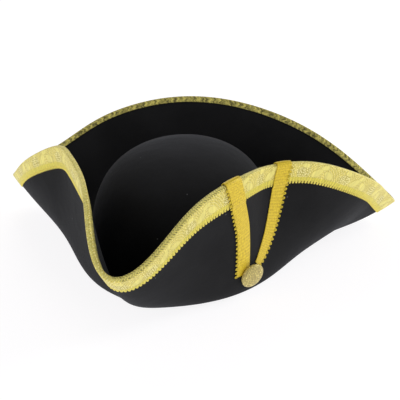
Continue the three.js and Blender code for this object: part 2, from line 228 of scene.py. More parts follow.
class HatShape:
    """Crown and brim from the sizes and the table of sections."""

    def __init__(self, sizes):
        for name in sizes.bl_rna.properties.keys():
            if name not in ("rna_type", "name"):
                setattr(self, name, getattr(sizes, name) / MM)
        rows = [dict(zip(SECTION, row)) for row in SECTIONS]
        last = len(rows) - 1
        self.rows = 2 * last
        turn = []
        for i in range(self.rows):
            right = i > last
            row = rows[self.rows - i if right else i]
            side = -1 if right else 1
            turn.append((
                360 - row["bearing"] if right else row["bearing"],
                row["out"] + side * row["skew_out"],
                row["rise"] + side * row["skew_rise"],
                row["lean"] + side * row["skew_lean"],
                row["sole"],
            ))
        even = 360 / self.rows
        self.bearing_off = round_spline([r[0] - i * even for i, r in enumerate(turn)])
        self.even = even
        self.out_at, self.rise_at, self.lean_at, self.sole_at = (
            round_spline([r[k] for r in turn]) for k in (1, 2, 3, 4)
        )
        self.outside_at = round_spline([self.lace_out + more for more in LACE_OUTSIDE])
        self.inside_at = round_spline([self.lace_in + more for more in LACE_INSIDE])
        self.half_x = self.head_width / 2 + self.felt
        self.half_y = self.head_length / 2 + self.felt
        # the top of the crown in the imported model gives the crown's middle
        top = [v.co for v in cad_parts["hat_body"].data.vertices if abs(v.co.z - self.crown_height * MM) < 1e-6]
        self.middle = np.array([top[0].x / MM, top[0].y / MM, 0.0])

    def oval(self, bearing, inset=0.0):
        b = np.radians(bearing)
        return 1 / np.hypot(np.sin(b) / (self.half_x - inset), np.cos(b) / (self.half_y - inset))

    def outward(self, bearing):
        b = np.radians(bearing)
        return np.stack([np.sin(b), -np.cos(b), np.zeros_like(b)], -1)

    def bearing(self, u):
        return self.bearing_off(u) + u * self.even

    def brim(self, u, t):
        """A point of the brim's outer side. u counts sections, t is 0 at the foot and 1 at the edge."""
        u, t = np.broadcast_arrays(np.asarray(u, float), np.asarray(t, float))
        bearing = self.bearing(u)
        n = self.outward(bearing)
        foot = self.oval(bearing) + self.sole_flat
        out = self.out_at(u) * self.brim_width - self.sole_flat
        rise = self.rise_at(u) * self.brim_width
        lean = np.radians(self.lean_at(u))
        chord = np.hypot(out, rise)
        sole = self.sole_at(u) * self.brim_width
        s = 1 - t
        away = (
            s**3 * foot
            + 3 * s * s * t * (foot + sole)
            + 3 * s * t * t * (foot + out - np.cos(lean) * chord / 3)
            + t**3 * (foot + out)
        )
        up = 3 * s * t * t * (rise - np.sin(lean) * chord / 3) + t**3 * rise
        return n * away[..., None] + np.array([0, 0, 1.0]) * up[..., None]

    def rim_way(self, u, t):
        return (self.brim(u + 1e-3, t) - self.brim(u - 1e-3, t)) / 2e-3

    def edge_way(self, u, t):
        a, b = np.minimum(t + 1e-3, 1), np.maximum(t - 1e-3, 0)
        return (self.brim(u, a) - self.brim(u, b)) / (a - b)[..., None]

    def inward(self, u, t):
        """Through the felt, from the outer side to the inner one."""
        u, t = np.asarray(u, float), np.asarray(t, float)
        return -unit(np.cross(self.rim_way(u, t), self.edge_way(u, t)))

    def lift(self, u):
        """Beyond the edge, along the felt."""
        t = np.ones_like(u)
        n, rim = self.inward(u, t), unit(self.rim_way(u, t))
        way = unit(np.cross(n, rim))
        return way * np.sign(dot(way, self.edge_way(u, t)))[..., None]

    def stations(self, count):
        """Places round the edge at equal steps, ends included, and the edge's length."""
        u = np.linspace(0, self.rows, 6001)
        steps = np.linalg.norm(np.diff(self.brim(u, 1.0), axis=0), axis=1)
        length = np.concatenate([[0], np.cumsum(steps)])
        return np.interp(np.linspace(0, length[-1], count + 1), length, u), length[-1]

    def down(self, u, distances):
        """Cells at each distance from the edge, walked square to the edge: u and t, a column for each distance, which
        is one number or one for each place."""
        u, t = np.array(u, float), np.ones(len(u))
        us, ts, walked = [], [], 0.0
        for distance in distances:
            steps = max(int(math.ceil(np.max(distance - walked) / 1.2)), 1)
            for _ in range(steps):
                across, down = self.rim_way(u, t), self.edge_way(u, t)
                size = np.linalg.norm(across, axis=-1)
                lie = dot(down, across) / size
                square = np.sqrt(np.maximum(dot(down, down) - lie * lie, 1))
                dt = -(distance - walked) / steps / square
                t = t + dt
                u = u - dt * lie / size
            walked = distance
            us.append(u.copy())
            ts.append(t.copy())
        return np.stack(us, -1), np.stack(ts, -1)

    def lace_cells(self):
        """The lace's grid of cells by distance from the edge, to read a place's distance from."""
        u, _ = self.stations(700)
        self.depths = np.linspace(0, 30, 31)
        self.cell_u, self.cell_t = self.down(u[:-1], self.depths)

    def depth(self, u, t):
        """Distance from the edge of one cell."""
        at = [
            np.interp(u % self.rows, self.cell_u[:, k] % self.rows, self.cell_t[:, k], period=self.rows)
            for k in range(len(self.depths))
        ]
        return float(np.interp(-t, [-a for a in at], self.depths))

    def crown_ring(self, bearing, turn, inset):
        """A point of the crown: turn is 0 at its foot and pi / 2 at its top."""
        upwards, outwards, taper = CROWN_SIDE
        share = np.sin(turn) ** (2 / upwards)
        wide = np.cos(turn) ** (2 / outwards) * (1 - taper * share)
        p = self.outward(bearing) * (self.oval(bearing, inset) * wide)[..., None]
        p[..., 2] = share * (self.crown_height - inset)
        return p


# ---- helpers for the pieces ----


def free():
    """Nothing is selected and no object is in edit mode."""
    if bpy.context.object and bpy.context.object.mode != "OBJECT":
        bpy.ops.object.mode_set(mode="OBJECT")
    bpy.ops.object.select_all(action="DESELECT")


def laid_grid(name, columns, rows, points, closed=False):
    """A grid primitive whose point in column i and row j goes to points[i, j], with its map kept from 0 to 1."""
    free()
    bpy.ops.mesh.primitive_grid_add(x_subdivisions=columns, y_subdivisions=rows, size=2, calc_uvs=True)
    piece = bpy.context.object
    piece.name = piece.data.name = name
    flat = np.empty(len(piece.data.vertices) * 3)
    piece.data.vertices.foreach_get("co", flat)
    flat = flat.reshape(-1, 3)
    i = np.rint((flat[:, 0] + 1) / 2 * columns).astype(int)
    j = np.rint((flat[:, 1] + 1) / 2 * rows).astype(int)
    piece.data.vertices.foreach_set("co", (points[i, j] * MM).ravel())
    piece.data.update()
    bpy.ops.object.mode_set(mode="EDIT")
    bpy.ops.mesh.select_all(action="SELECT")
    if closed:
        bpy.ops.mesh.remove_doubles(threshold=1e-6)
    bpy.ops.object.mode_set(mode="OBJECT")
    return piece


def thicken(piece, thickness, offset):
    """Gives a sheet its wall, on the side that offset says."""
    wall = piece.modifiers.new("wall", "SOLIDIFY")
    wall.thickness, wall.offset, wall.use_even_offset, wall.use_rim = thickness, offset, True, True
    bpy.context.view_layer.objects.active = piece
    bpy.ops.object.modifier_apply(modifier="wall")


def finish_piece(piece, node, material, smooth=40):
    """Material, smooth shading, and the place in the frame."""
    free()
    piece.data.materials.clear()
    piece.data.materials.append(material)
    piece.select_set(True)
    bpy.context.view_layer.objects.active = piece
    bpy.ops.object.shade_smooth_by_angle(angle=math.radians(smooth))
    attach(piece, "root")
    if node:
        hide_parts(node)


def thread_loops(name, centres, along, away, facing, across, thread):
    """Small loops of thread, one modelled as an oval ring and the rest copied into one mesh."""
    free()
    bpy.ops.mesh.primitive_torus_add(
        major_segments=12, minor_segments=5, major_radius=across / 2, minor_radius=thread / 2
    )
    ring = bpy.context.object
    bpy.ops.object.mode_set(mode="EDIT")
    bpy.ops.transform.resize(value=(0.92, 1.25, 0.8))
    bpy.ops.object.mode_set(mode="OBJECT")
    one = np.array([v.co[:] for v in ring.data.vertices]) / MM
    faces = [list(p.vertices) for p in ring.data.polygons]
    bpy.data.objects.remove(ring)
    all_points = (
        centres[:, None]
        + one[None, :, 0:1] * along[:, None]
        + one[None, :, 1:2] * away[:, None]
        + one[None, :, 2:3] * facing[:, None]
    ).reshape(-1, 3)
    mesh = bpy.data.meshes.new(name)
    mesh.from_pydata(
        (all_points * MM).tolist(), [], [[v + k * len(one) for v in f] for k in range(len(centres)) for f in faces]
    )
    loops = bpy.data.objects.new(name, mesh)
    bpy.context.collection.objects.link(loops)
    bpy.context.view_layer.objects.active = loops
    loops.select_set(True)
    bpy.ops.object.mode_set(mode="EDIT")
    bpy.ops.mesh.select_all(action="SELECT")
    bpy.ops.mesh.normals_make_consistent(inside=False)
    bpy.ops.object.mode_set(mode="OBJECT")
    return loops


# ---- materials ----


def add(tree, kind, settings=None, inputs=None):
    """Adds a node with its settings, and fills its inputs with values or links."""
    node = tree.nodes.new(kind)
    for name, value in (settings or {}).items():
        setattr(node, name, value)
    for key, value in (inputs or {}).items():
        if isinstance(value, bpy.types.NodeSocket):
            tree.links.new(value, node.inputs[key])
        else:
            node.inputs[key].default_value = value
    return node


def new_material(name, view):
    material = bpy.data.materials.new(name)
    material.use_nodes = True
    material.diffuse_color = (*view, 1)
    tree = material.node_tree
    tree.nodes.clear()
    shader = add(tree, "ShaderNodeBsdfPrincipled")
    add(tree, "ShaderNodeOutputMaterial", inputs={"Surface": shader.outputs[0]})
    return material, tree, shader


def rgba(c):
    return (*c, 1.0)


def wool_felt(colours):
    """Wool felt, pressed and brushed: hardly any gloss, a fuzz that lights up where it is seen edge on."""
    material, tree, shader = new_material("wool_felt", colours.felt)
    place = add(tree, "ShaderNodeTexCoord").outputs["Object"]
    # fibre clumps about 1 mm across
    clumps = add(tree, "ShaderNodeTexNoise", inputs={"Vector": place, "Scale": 900.0, "Detail": 4.0, "Roughness": 0.65})
    # handled patches about 40 mm across
    patches = add(tree, "ShaderNodeTexNoise", inputs={"Vector": place, "Scale": 22.0, "Detail": 3.0, "Roughness": 0.55})
    mixed = add(
        tree,
        "ShaderNodeMath",
        {"operation": "MULTIPLY_ADD"},
        {0: clumps.outputs["Fac"], 1: 0.55, 2: patches.outputs["Fac"]},
    )
    tone = add(tree, "ShaderNodeValToRGB", inputs={"Fac": mixed.outputs[0]})
    dark, light = [c * 0.72 for c in colours.felt], [c * 1.45 for c in colours.felt]
    tone.color_ramp.elements[0].position, tone.color_ramp.elements[0].color = 0.5, rgba(dark)
    tone.color_ramp.elements[1].position, tone.color_ramp.elements[1].color = 1.05, rgba(light)
    # stray pale fibres, a few on each flap
    specks = add(tree, "ShaderNodeTexVoronoi", {"feature": "F1"}, {"Vector": place, "Scale": 42.0, "Randomness": 1.0})
    speck = add(
        tree,
        "ShaderNodeMapRange",
        inputs={
            "Value": specks.outputs["Distance"],
            "From Min": 0.018,
            "From Max": 0.034,
            "To Min": 0.5,
            "To Max": 0.0,
        },
    )
    cloth = add(
        tree,
        "ShaderNodeMix",
        {"data_type": "RGBA"},
        {"Factor": speck.outputs[0], 6: tone.outputs[0], 7: rgba(colour("#6c6c70"))},
    )
    fibres = add(tree, "ShaderNodeTexNoise", inputs={"Vector": place, "Scale": 2600.0, "Detail": 2.0, "Roughness": 0.6})
    height = add(
        tree,
        "ShaderNodeMath",
        {"operation": "MULTIPLY_ADD"},
        {0: fibres.outputs["Fac"], 1: 0.35, 2: clumps.outputs["Fac"]},
    )
    fine = add(tree, "ShaderNodeBump", inputs={"Height": height.outputs[0], "Strength": 0.5, "Distance": 0.00025})
    dents = add(
        tree,
        "ShaderNodeBump",
        inputs={"Height": patches.outputs["Fac"], "Strength": 0.35, "Distance": 0.004, "Normal": fine.outputs[0]},
    )
    tree.links.new(cloth.outputs[2], shader.inputs["Base Color"])
    tree.links.new(dents.outputs[0], shader.inputs["Normal"])
    shader.inputs["Roughness"].default_value = 0.92
    shader.inputs["Specular IOR Level"].default_value = 0.2
    shader.inputs["Sheen Weight"].default_value = 0.2
    shader.inputs["Sheen Roughness"].default_value = 0.45
    shader.inputs["Sheen Tint"].default_value = rgba(colours.felt_fuzz)
    return material


FULL_LACE = 50.0  # what the lace's maps take as 1, in millimetres


def brocade(tree, along, across):
    """The lace's pattern: two leaves, a cluster of pearls and dotted arcs, over and over. along and across are in
    millimetres. Gives how far a place is in a leaf, in the cluster, and in a pearl or dot."""
    share = add(tree, "ShaderNodeMath", {"operation": "DIVIDE"}, {0: along, 1: LACE_REPEAT})
    part = add(tree, "ShaderNodeMath", {"operation": "FRACT"}, {0: share.outputs[0]})
    x = add(
        tree,
        "ShaderNodeMath",
        {"operation": "MULTIPLY_ADD"},
        {0: part.outputs[0], 1: LACE_REPEAT, 2: -LACE_REPEAT / 2},
    )
    spot = add(tree, "ShaderNodeCombineXYZ", inputs={"X": x.outputs[0], "Y": across})
    masks = []
    # centre, lean, half sizes and edge of two leaves, two half leaves under the fold and the pearls' cluster
    for place, lean, size, soft in (
        ((-2, 8.6), 32, (6.6, 3.5), 0.22),
        ((12, 8.0), -28, (6.2, 3.3), 0.22),
        ((5, 15.0), 12, (5.0, 2.6), 0.3),
        ((-16, 15.4), -8, (4.4, 2.4), 0.3),
        ((-17, 8.4), 0, (7.4, 5.4), 0.25),
    ):
        turned = add(
            tree,
            "ShaderNodeMapping",
            {"vector_type": "TEXTURE"},
            {
                "Vector": spot.outputs[0],
                "Location": (*place, 0),
                "Rotation": (0, 0, math.radians(lean)),
                "Scale": (*size, 1),
            },
        )
        reach = add(tree, "ShaderNodeVectorMath", {"operation": "LENGTH"}, {0: turned.outputs[0]})
        inside = add(
            tree,
            "ShaderNodeMapRange",
            {"interpolation_type": "SMOOTHSTEP"},
            {"Value": reach.outputs["Value"], "From Min": 1 + soft / 2, "From Max": 1 - soft / 2},
        )
        masks.append(inside.outputs[0])
    leaves = masks[0]
    for mask in masks[1:4]:
        leaves = add(tree, "ShaderNodeMath", {"operation": "MAXIMUM"}, {0: leaves, 1: mask}).outputs[0]
    cluster = masks[4]
    # pearls
    flat = add(tree, "ShaderNodeCombineXYZ", inputs={"X": along, "Y": across})
    beads = add(
        tree,
        "ShaderNodeTexVoronoi",
        {"voronoi_dimensions": "2D", "feature": "F1"},
        {"Vector": flat.outputs[0], "Scale": 1 / PEARL_STEP, "Randomness": 0.45},
    )
    bead = add(
        tree,
        "ShaderNodeMapRange",
        {"interpolation_type": "SMOOTHSTEP"},
        {"Value": beads.outputs["Distance"], "From Min": 0.48, "From Max": 0.22},
    )
    pearls = add(tree, "ShaderNodeMath", {"operation": "MULTIPLY"}, {0: bead.outputs[0], 1: cluster})
    # dotted arcs about a point on the hem, outside the leaves
    off = add(tree, "ShaderNodeVectorMath", {"operation": "SUBTRACT"}, {0: spot.outputs[0], 1: (5.0, -1.0, 0.0)})
    off_parts = add(tree, "ShaderNodeSeparateXYZ", inputs={0: off.outputs[0]})
    away = add(tree, "ShaderNodeVectorMath", {"operation": "LENGTH"}, {0: off.outputs[0]})
    turn = add(
        tree, "ShaderNodeMath", {"operation": "ARCTAN2"}, {0: off_parts.outputs["Y"], 1: off_parts.outputs["X"]}
    )
    beat = add(tree, "ShaderNodeMath", {"operation": "MULTIPLY"}, {0: turn.outputs[0], 1: 2 * 30.0})
    blink = add(tree, "ShaderNodeMath", {"operation": "SINE"}, {0: beat.outputs[0]})
    ring_turn = add(
        tree, "ShaderNodeMath", {"operation": "MULTIPLY"}, {0: away.outputs["Value"], 1: 2 * math.pi / ARC_STEP}
    )
    ring = add(tree, "ShaderNodeMath", {"operation": "SINE"}, {0: ring_turn.outputs[0]})
    dotted = add(
        tree, "ShaderNodeMath", {"operation": "MULTIPLY_ADD"}, {0: blink.outputs[0], 1: 0.55, 2: ring.outputs[0]}
    )
    dots = add(
        tree,
        "ShaderNodeMapRange",
        {"interpolation_type": "SMOOTHSTEP"},
        {"Value": dotted.outputs[0], "From Min": 0.35, "From Max": 1.25},
    )
    free_of = add(tree, "ShaderNodeMath", {"operation": "MAXIMUM"}, {0: leaves, 1: cluster})
    open_part = add(tree, "ShaderNodeMath", {"operation": "SUBTRACT"}, {0: 1.0, 1: free_of.outputs[0]})
    arcs = add(tree, "ShaderNodeMath", {"operation": "MULTIPLY"}, {0: dots.outputs[0], 1: open_part.outputs[0]})
    lit = add(tree, "ShaderNodeMath", {"operation": "MULTIPLY_ADD"}, {0: arcs.outputs[0], 1: 0.8, 2: pearls.outputs[0]})
    return leaves, cluster, lit.outputs[0]


def gold_lace(colours, length):
    """Gold lace, woven of flat metal thread on a cotton core: a soft broken gleam, leaves raised on knitted ground."""
    material, tree, shader = new_material("gold_lace", colours.lace)
    cloth = add(tree, "ShaderNodeUVMap", {"uv_map": "FromHem"})
    real = add(tree, "ShaderNodeMapping", inputs={"Vector": cloth.outputs[0], "Scale": (length, FULL_LACE, 1)})
    parts = add(tree, "ShaderNodeSeparateXYZ", inputs={0: real.outputs[0]})
    along, across = parts.outputs["X"], parts.outputs["Y"]
    fold_map = add(tree, "ShaderNodeUVMap", {"uv_map": "FromFold"})
    fold_parts = add(tree, "ShaderNodeSeparateXYZ", inputs={0: fold_map.outputs[0]})
    border, from_fold = fold_parts.outputs["X"], fold_parts.outputs["Y"]
    leaves, cluster, lit = brocade(tree, along, across)
    # the twill lies past its border, which the second map gives; this darker twill is partly real weave and partly
    # painted shade, laid where the fold turns from the light
    past = add(tree, "ShaderNodeMath", {"operation": "SUBTRACT"}, {0: from_fold, 1: border})
    twill = add(
        tree,
        "ShaderNodeMapRange",
        {"interpolation_type": "SMOOTHSTEP"},
        {"Value": past.outputs[0], "From Min": -0.9 / FULL_LACE, "From Max": 0.9 / FULL_LACE},
    )
    # the pattern lies above the hem's plain strip
    above = add(
        tree,
        "ShaderNodeMapRange",
        {"interpolation_type": "SMOOTHSTEP"},
        {"Value": across, "From Min": 3.4, "From Max": 4.6},
    )
    not_twill = add(tree, "ShaderNodeMath", {"operation": "SUBTRACT"}, {0: 1.0, 1: twill.outputs[0]})
    band = add(tree, "ShaderNodeMath", {"operation": "MULTIPLY"}, {0: above.outputs[0], 1: not_twill.outputs[0]})
    leaf, bunch, pearl = (
        add(tree, "ShaderNodeMath", {"operation": "MULTIPLY"}, {0: mask, 1: band.outputs[0]}).outputs[0]
        for mask in (leaves, cluster, lit)
    )
    # knitted ground: stitches that lean to both sides, and with them the glitter of single threads
    lean_in = add(tree, "ShaderNodeMath", {"operation": "PINGPONG"}, {0: across, 1: 2.0})
    slant = add(tree, "ShaderNodeMath", {"operation": "ADD"}, {0: along, 1: lean_in.outputs[0]})
    slant_turn = add(
        tree, "ShaderNodeMath", {"operation": "MULTIPLY"}, {0: slant.outputs[0], 1: 2 * math.pi / STITCH_STEP}
    )
    knit = add(tree, "ShaderNodeMath", {"operation": "SINE"}, {0: slant_turn.outputs[0]})
    glitter = add(
        tree,
        "ShaderNodeTexNoise",
        inputs={"Vector": real.outputs[0], "Scale": 0.62, "Detail": 4.0, "Roughness": 0.85},
    )
    mottle = add(
        tree, "ShaderNodeMath", {"operation": "MULTIPLY_ADD"}, {0: knit.outputs[0], 1: 0.1, 2: glitter.outputs["Fac"]}
    )
    # pulls across the lace, a few millimetres apart
    pulls_at = add(tree, "ShaderNodeMapping", inputs={"Vector": real.outputs[0], "Scale": (0.4, 0.07, 1)})
    pulls = add(tree, "ShaderNodeTexNoise", inputs={"Vector": pulls_at.outputs[0], "Scale": 1.0, "Detail": 3.0})
    # a dark line round each leaf
    rim_side = add(tree, "ShaderNodeMath", {"operation": "SUBTRACT"}, {0: 1.0, 1: leaf})
    rim_line = add(tree, "ShaderNodeMath", {"operation": "MULTIPLY"}, {0: leaf, 1: rim_side.outputs[0]})
    outline = add(tree, "ShaderNodeMath", {"operation": "MULTIPLY"}, {0: rim_line.outputs[0], 1: 2.6})
    # the twill's slanting floats of thread, about 3 mm long so that they show
    float_at = add(tree, "ShaderNodeCombineXYZ", inputs={0: slant.outputs[0], 1: from_fold})
    float_real = add(tree, "ShaderNodeMapping", inputs={"Vector": float_at.outputs[0], "Scale": (0.42, 9.0, 1)})
    floats = add(tree, "ShaderNodeTexNoise", inputs={"Vector": float_real.outputs[0], "Scale": 1.0, "Detail": 1.5})
    flecked = add(
        tree, "ShaderNodeMapRange", inputs={"Value": mottle.outputs[0], "From Min": 0.38, "From Max": 0.6}
    )
    floated = add(
        tree, "ShaderNodeMapRange", inputs={"Value": floats.outputs["Fac"], "From Min": 0.36, "From Max": 0.66}
    )
    # the back's twill is the coarser one; its border in the second map tells it from the front's
    coarse = add(
        tree,
        "ShaderNodeMapRange",
        inputs={"Value": border, "From Min": 0.5 - 1.5 / FULL_LACE, "From Max": 0.5 + 0.5 / FULL_LACE},
    )
    twilled = add(
        tree,
        "ShaderNodeMix",
        {"data_type": "FLOAT"},
        {0: coarse.outputs[0], 2: flecked.outputs[0], 3: floated.outputs[0]},
    )
    # dots of brighter thread along the hem's strip
    dot_turn = add(tree, "ShaderNodeMath", {"operation": "MULTIPLY"}, {0: along, 1: 2 * math.pi / STRIP_DOT_STEP})
    dot_wave = add(tree, "ShaderNodeMath", {"operation": "SINE"}, {0: dot_turn.outputs[0]})
    strip_tone = add(
        tree,
        "ShaderNodeMath",
        {"operation": "MULTIPLY_ADD"},
        {0: dot_wave.outputs[0], 1: 0.09, 2: glitter.outputs["Fac"]},
    )
    strip_share = add(
        tree, "ShaderNodeMapRange", inputs={"Value": strip_tone.outputs[0], "From Min": 0.3, "From Max": 0.64}
    )
    # painted highlight: the twill is drawn in the leaf colour in a thin line where it turns over the felt's edge and
    # catches the light
    fold_off = add(tree, "ShaderNodeMath", {"operation": "SUBTRACT"}, {0: from_fold, 1: 0.5 - 0.4 / FULL_LACE})
    fold_far = add(tree, "ShaderNodeMath", {"operation": "ABSOLUTE"}, {0: fold_off.outputs[0]})
    fold_highlight = add(
        tree,
        "ShaderNodeMapRange",
        {"interpolation_type": "SMOOTHSTEP"},
        {
            "Value": fold_far.outputs[0],
            "From Min": 1.1 / FULL_LACE,
            "From Max": 0.4 / FULL_LACE,
            "To Min": 0.0,
            "To Max": 0.7,
        },
    )
    # each cloth's own colours
    weaves = []
    for share, dark, light in (
        (flecked, colours.lace_shadow, colours.lace_ground),
        (twilled, [c * 0.42 for c in colours.lace_twill], [c * 2.3 for c in colours.lace_twill]),
        (strip_share, [c * 0.66 for c in colours.lace_strip], colours.lace_strip),
    ):
        weave = add(
            tree, "ShaderNodeMix", {"data_type": "RGBA"}, {"Factor": share.outputs[0], 6: rgba(dark), 7: rgba(light)}
        )
        weaves.append(weave.outputs[2])
    ground, knitted, face = weaves
    # laid one over the other, from the strip up
    for share, over in (
        (above.outputs[0], ground),
        (bunch, rgba(colours.lace_shadow)),
        (leaf, rgba(colours.lace)),
        (outline.outputs[0], rgba(colours.lace_shadow)),
        (pearl, rgba(colours.lace_pearl)),
        # the darker twill, partly real weave and partly painted shade
        (twill.outputs[0], knitted),
        # the painted highlight along the fold
        (fold_highlight.outputs[0], rgba(colours.lace)),
    ):
        face = add(tree, "ShaderNodeMix", {"data_type": "RGBA"}, {"Factor": share, 6: face, 7: over}).outputs[2]
    shade = add(
        tree,
        "ShaderNodeMapRange",
        inputs={"Value": pulls.outputs["Fac"], "From Min": 0.3, "From Max": 0.7, "To Min": 0.86, "To Max": 1.1},
    )
    final = add(tree, "ShaderNodeVectorMath", {"operation": "SCALE"}, {0: face, "Scale": shade.outputs[0]})
    tree.links.new(final.outputs[0], shader.inputs["Base Color"])
    # relief: the pattern, the stitches and the pulls
    height = add(tree, "ShaderNodeMath", {"operation": "ADD"}, {0: pearl, 1: leaf})
    for part in (mottle.outputs[0], pulls.outputs["Fac"]):
        height = add(tree, "ShaderNodeMath", {"operation": "MULTIPLY_ADD"}, {0: part, 1: 2.0, 2: height.outputs[0]})
    bump = add(tree, "ShaderNodeBump", inputs={"Height": height.outputs[0], "Strength": 0.6, "Distance": 0.0004})
    tree.links.new(bump.outputs[0], shader.inputs["Normal"])
    shader.inputs["Metallic"].default_value = 0.35
    shader.inputs["Roughness"].default_value = 0.5
    return material


def picot_thread(name, dark, light):
    """The thread of the picots: the cloth's own metal thread, close-set, so its gleam is small and broken."""
    material, tree, shader = new_material(name, light)
    place = add(tree, "ShaderNodeTexCoord").outputs["Object"]
    grain = add(tree, "ShaderNodeTexNoise", inputs={"Vector": place, "Scale": 700.0, "Detail": 2.0})
    tone = add(tree, "ShaderNodeValToRGB", inputs={"Fac": grain.outputs["Fac"]})
    tone.color_ramp.elements[0].position, tone.color_ramp.elements[0].color = 0.35, rgba(dark)
    tone.color_ramp.elements[1].position, tone.color_ramp.elements[1].color = 0.65, rgba(light)
    bump = add(tree, "ShaderNodeBump", inputs={"Height": grain.outputs["Fac"], "Strength": 0.5, "Distance": 0.0002})
    tree.links.new(tone.outputs[0], shader.inputs["Base Color"])
    tree.links.new(bump.outputs[0], shader.inputs["Normal"])
    shader.inputs["Metallic"].default_value = 0.3
    shader.inputs["Roughness"].default_value = 0.5
    return material


def ribbed_ribbon(colours, length, width):
    """Ribbon woven of silky yellow thread with a fine rib across it: deeper in colour than the lace, less metal."""
    material, tree, shader = new_material("ribbed_ribbon", colours.ribbon)
    cloth = add(tree, "ShaderNodeUVMap", {"uv_map": "UVMap"})
    real = add(tree, "ShaderNodeMapping", inputs={"Vector": cloth.outputs[0], "Scale": (length, width, 1)})
    parts = add(tree, "ShaderNodeSeparateXYZ", inputs={0: real.outputs[0]})
    rib, warp = (
        add(
            tree,
            "ShaderNodeMath",
            {"operation": "SINE"},
            {0: add(tree, "ShaderNodeMath", {"operation": "MULTIPLY"}, {0: run, 1: 2 * math.pi / step}).outputs[0]},
        )
        for run, step in ((parts.outputs["X"], RIB_STEP), (parts.outputs["Y"], WARP_STEP))
    )
    weave = add(
        tree, "ShaderNodeMath", {"operation": "MULTIPLY_ADD"}, {0: warp.outputs[0], 1: 0.6, 2: rib.outputs[0]}
    )
    fleck = add(
        tree,
        "ShaderNodeTexNoise",
        inputs={"Vector": real.outputs[0], "Scale": 0.5, "Detail": 4.0, "Roughness": 0.8},
    )
    mixed = add(
        tree, "ShaderNodeMath", {"operation": "MULTIPLY_ADD"}, {0: weave.outputs[0], 1: 0.05, 2: fleck.outputs["Fac"]}
    )
    tone = add(tree, "ShaderNodeValToRGB", inputs={"Fac": mixed.outputs[0]})
    dark, light = tone.color_ramp.elements
    dark.position, dark.color = 0.32, rgba([c * share for c, share in zip(colours.ribbon, (0.72, 0.62, 0.5))])
    light.position, light.color = 0.62, rgba([min(c * 1.16, 1) for c in colours.ribbon])
    height = add(
        tree, "ShaderNodeMath", {"operation": "MULTIPLY_ADD"}, {0: weave.outputs[0], 1: 0.3, 2: fleck.outputs["Fac"]}
    )
    bump = add(tree, "ShaderNodeBump", inputs={"Height": height.outputs[0], "Strength": 0.4, "Distance": 0.0003})
    tree.links.new(tone.outputs[0], shader.inputs["Base Color"])
    tree.links.new(bump.outputs[0], shader.inputs["Normal"])
    shader.inputs["Metallic"].default_value = 0.15
    shader.inputs["Roughness"].default_value = 0.5
    return material


def crackled_cloth(colours):
    """Cloth with a crackled gold foil, drawn over the button: pale flakes with dark lines between them."""
    material, tree, shader = new_material("crackled_cloth", colours.button)
    place = add(tree, "ShaderNodeTexCoord").outputs["Object"]
    wander = add(tree, "ShaderNodeTexNoise", inputs={"Vector": place, "Scale": 600.0, "Detail": 2.0})
    pushed = add(
        tree,
        "ShaderNodeVectorMath",
        {"operation": "MULTIPLY_ADD"},
        {0: wander.outputs["Color"], 1: (0.0012, 0.0012, 0.0012), 2: place},
    )
    # flakes about 1.2 mm across
    flakes, cracks = (
        add(tree, "ShaderNodeTexVoronoi", {"feature": feature}, {"Vector": pushed.outputs[0], "Scale": 850.0})
        for feature in ("F1", "DISTANCE_TO_EDGE")
    )
    line = add(
        tree,
        "ShaderNodeMapRange",
        {"interpolation_type": "SMOOTHSTEP"},
        {"Value": cracks.outputs["Distance"], "From Min": 0.03, "From Max": 0.16},
    )
    glint = add(tree, "ShaderNodeSeparateColor", inputs={0: flakes.outputs["Color"]})
    tone = add(tree, "ShaderNodeValToRGB", inputs={"Fac": glint.outputs[0]})
    tone.color_ramp.elements[0].color = rgba([c * 0.58 for c in colours.button])
    tone.color_ramp.elements[1].color = rgba([min(c * 1.15, 1) for c in colours.button])
    cloth = add(
        tree,
        "ShaderNodeMix",
        {"data_type": "RGBA"},
        {"Factor": line.outputs[0], 6: rgba([c * 0.42 for c in colours.button]), 7: tone.outputs[0]},
    )
    height = add(
        tree, "ShaderNodeMath", {"operation": "MULTIPLY_ADD"}, {0: glint.outputs[1], 1: 0.5, 2: line.outputs[0]}
    )
    bump = add(tree, "ShaderNodeBump", inputs={"Height": height.outputs[0], "Strength": 0.8, "Distance": 0.0003})
    tree.links.new(cloth.outputs[2], shader.inputs["Base Color"])
    tree.links.new(bump.outputs[0], shader.inputs["Normal"])
    shader.inputs["Metallic"].default_value = 0.5
    shader.inputs["Roughness"].default_value = 0.4
    return material


# ---- operators: one for each piece or group of like pieces ----


class HAT_OT_felt_body(bpy.types.Operator):
    """Moulds the crown and brim from one sheet of felt"""

    bl_idname = "hat.felt_body"
    bl_label = "Felt crown and brim"

    def execute(self, context):
        shape = HatShape(context.scene.hat_sizes)
        columns = 420
        u, _ = shape.stations(columns)
        bearing = shape.bearing(u)
        inset = shape.felt
        turns = np.radians(np.linspace(90, 2.2, 30))
        rows = [shape.crown_ring(bearing, np.full(len(u), turn), inset) for turn in turns]
        rows[0][:, :2] = 0
        # a rounded fold at the head opening, and the flat foot
        fold = 2.5
        inner = shape.oval(bearing, inset)
        for a in np.radians(np.linspace(180, 270, 6)):
            ring = shape.outward(bearing) * (inner + fold + fold * math.cos(a))[:, None]
            ring[:, 2] = fold + fold * math.sin(a)
            rows.append(ring)
        rows.append(shape.outward(bearing) * (shape.oval(bearing) + shape.sole_flat / 2)[:, None])
        for t in np.linspace(0, 1, 38):
            rows.append(shape.brim(u, t))
        points = np.stack(rows, 1) + shape.middle
        points[-1] = points[0]
        felt = laid_grid("felt_body", columns, points.shape[1] - 1, points, closed=True)
        thicken(felt, shape.felt * MM, -1)
        finish_piece(felt, "hat_body", wool_felt(context.scene.hat_colours))
        return {"FINISHED"}


